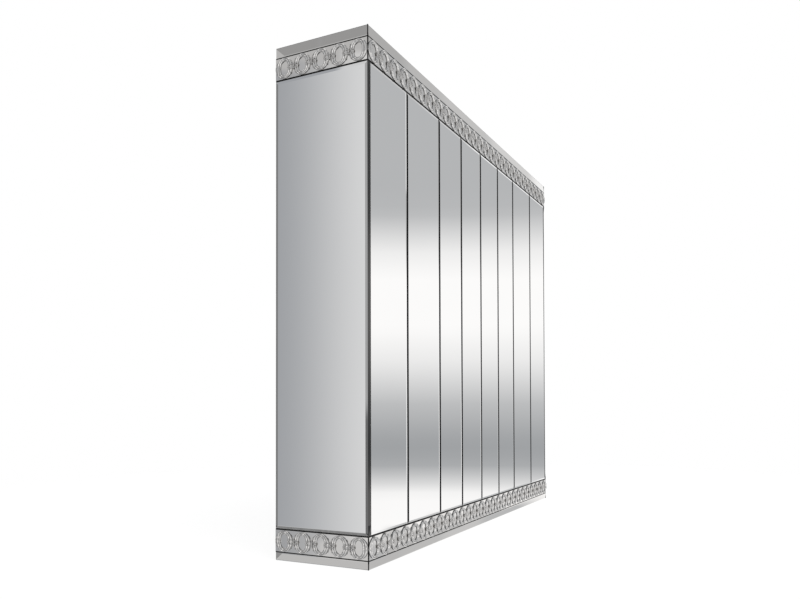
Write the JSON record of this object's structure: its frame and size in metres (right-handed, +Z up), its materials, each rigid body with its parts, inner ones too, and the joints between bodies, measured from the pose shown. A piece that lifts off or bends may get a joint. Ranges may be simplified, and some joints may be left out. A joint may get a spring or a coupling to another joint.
{
  "type": "armoire",
  "caption": "Tall mirror-clad armoire with hinged mirrored doors, a crown and a plinth with ring-chain friezes, and bays with hanging rails and shelves.",
  "frame": {"origin": "on the floor under the middle of the overall bounding box", "axes": "+Z up, doors facing -Y, +X to the right of someone facing the doors"},
  "size_m": [2.986, 0.573, 2.7],
  "materials": {
    "silver_mirror": "polished silvered glass with a ground bevel",
    "silvered_relief": "moulded silvered glass",
    "smoked_mirror": "polished smoked glass",
    "dark_bead": "matt",
    "grey_laminate": "satin melamine-faced board",
    "polished_steel": "polished",
    "spring_steel": "zinc plated",
    "dark_plastic": "matt",
    "pale_plastic": "matt"
  },
  "bodies": {
    "carcass": {"plinth_frame": "grey_laminate", "base_deck": "grey_laminate", "top_deck": "grey_laminate", "side_panels": "grey_laminate", "partition_panels": "grey_laminate", "back_panels": "grey_laminate", "crown_frame": "grey_laminate", "crown_lid": "grey_laminate", "crown_mirror_strips": "silver_mirror", "crown_frieze_mirrors": "silver_mirror", "crown_ring_chain": "silvered_relief", "base_frieze_mirrors": "silver_mirror", "base_mirror_strips": "silver_mirror", "base_ring_chain": "silvered_relief", "side_mirrors": "silver_mirror", "corner_profiles": "smoked_mirror", "joint_beads": "dark_bead", "hanging_rails": "polished_steel", "rail_sockets": "polished_steel", "shelves": "grey_laminate", "shelf_pins": "polished_steel", "pivot_bushes": "dark_plastic", "latch_housings": "dark_plastic", "latch_springs": "spring_steel", "levelling_feet": "dark_plastic", "back_screws": "spring_steel", "wall_brackets": "spring_steel"},
    "door_1": {"door_1_panel": "grey_laminate", "door_1_mirror": "silver_mirror", "door_1_pivots": "polished_steel"},
    "door_2": {"door_2_panel": "grey_laminate", "door_2_mirror": "silver_mirror", "door_2_pivots": "polished_steel"},
    "door_3": {"door_3_panel": "grey_laminate", "door_3_mirror": "silver_mirror", "door_3_pivots": "polished_steel"},
    "door_4": {"door_4_panel": "grey_laminate", "door_4_mirror": "silver_mirror", "door_4_pivots": "polished_steel"},
    "door_5": {"door_5_panel": "grey_laminate", "door_5_mirror": "silver_mirror", "door_5_pivots": "polished_steel"},
    "door_6": {"door_6_panel": "grey_laminate", "door_6_mirror": "silver_mirror", "door_6_pivots": "polished_steel"},
    "door_7": {"door_7_panel": "grey_laminate", "door_7_mirror": "silver_mirror", "door_7_pivots": "polished_steel"},
    "door_8": {"door_8_panel": "grey_laminate", "door_8_mirror": "silver_mirror", "door_8_pivots": "polished_steel"},
    "latch_1": {"latch_plunger_1": "pale_plastic"},
    "latch_2": {"latch_plunger_2": "pale_plastic"},
    "latch_3": {"latch_plunger_3": "pale_plastic"},
    "latch_4": {"latch_plunger_4": "pale_plastic"},
    "latch_5": {"latch_plunger_5": "pale_plastic"},
    "latch_6": {"latch_plunger_6": "pale_plastic"},
    "latch_7": {"latch_plunger_7": "pale_plastic"},
    "latch_8": {"latch_plunger_8": "pale_plastic"}
  },
  "joints": [
    {"name": "door_1_hinge", "type": "hinge", "parent": "carcass", "child": "door_1", "pos_m": [-1.44, -0.2675, 1.344], "axis": [0, 0, -1], "range_deg": [0, 105]},
    {"name": "door_2_hinge", "type": "hinge", "parent": "carcass", "child": "door_2", "pos_m": [-0.68193, -0.2675, 1.344], "axis": [0, 0, 1], "range_deg": [0, 90]},
    {"name": "door_3_hinge", "type": "hinge", "parent": "carcass", "child": "door_3", "pos_m": [-0.63793, -0.2675, 1.344], "axis": [0, 0, -1], "range_deg": [0, 90]},
    {"name": "door_4_hinge", "type": "hinge", "parent": "carcass", "child": "door_4", "pos_m": [-0.022, -0.2675, 1.344], "axis": [0, 0, 1], "range_deg": [0, 90]},
    {"name": "door_5_hinge", "type": "hinge", "parent": "carcass", "child": "door_5", "pos_m": [0.022, -0.2675, 1.344], "axis": [0, 0, -1], "range_deg": [0, 90]},
    {"name": "door_6_hinge", "type": "hinge", "parent": "carcass", "child": "door_6", "pos_m": [0.63793, -0.2675, 1.344], "axis": [0, 0, 1], "range_deg": [0, 90]},
    {"name": "door_7_hinge", "type": "hinge", "parent": "carcass", "child": "door_7", "pos_m": [0.68193, -0.2675, 1.344], "axis": [0, 0, -1], "range_deg": [0, 90]},
    {"name": "door_8_hinge", "type": "hinge", "parent": "carcass", "child": "door_8", "pos_m": [1.44, -0.2675, 1.344], "axis": [0, 0, 1], "range_deg": [0, 105]},
    {"name": "latch_1_push", "type": "slide", "parent": "carcass", "child": "latch_1", "axis": [0, 1, 0], "range_m": [0, 0.0025], "stiffness_N_per_m": 200, "springref_m": -0.005},
    {"name": "latch_2_push", "type": "slide", "parent": "carcass", "child": "latch_2", "axis": [0, 1, 0], "range_m": [0, 0.0025], "stiffness_N_per_m": 200, "springref_m": -0.005},
    {"name": "latch_3_push", "type": "slide", "parent": "carcass", "child": "latch_3", "axis": [0, 1, 0], "range_m": [0, 0.0025], "stiffness_N_per_m": 200, "springref_m": -0.005},
    {"name": "latch_4_push", "type": "slide", "parent": "carcass", "child": "latch_4", "axis": [0, 1, 0], "range_m": [0, 0.0025], "stiffness_N_per_m": 200, "springref_m": -0.005},
    {"name": "latch_5_push", "type": "slide", "parent": "carcass", "child": "latch_5", "axis": [0, 1, 0], "range_m": [0, 0.0025], "stiffness_N_per_m": 200, "springref_m": -0.005},
    {"name": "latch_6_push", "type": "slide", "parent": "carcass", "child": "latch_6", "axis": [0, 1, 0], "range_m": [0, 0.0025], "stiffness_N_per_m": 200, "springref_m": -0.005},
    {"name": "latch_7_push", "type": "slide", "parent": "carcass", "child": "latch_7", "axis": [0, 1, 0], "range_m": [0, 0.0025], "stiffness_N_per_m": 200, "springref_m": -0.005},
    {"name": "latch_8_push", "type": "slide", "parent": "carcass", "child": "latch_8", "axis": [0, 1, 0], "range_m": [0, 0.0025], "stiffness_N_per_m": 200, "springref_m": -0.005}
  ]
}
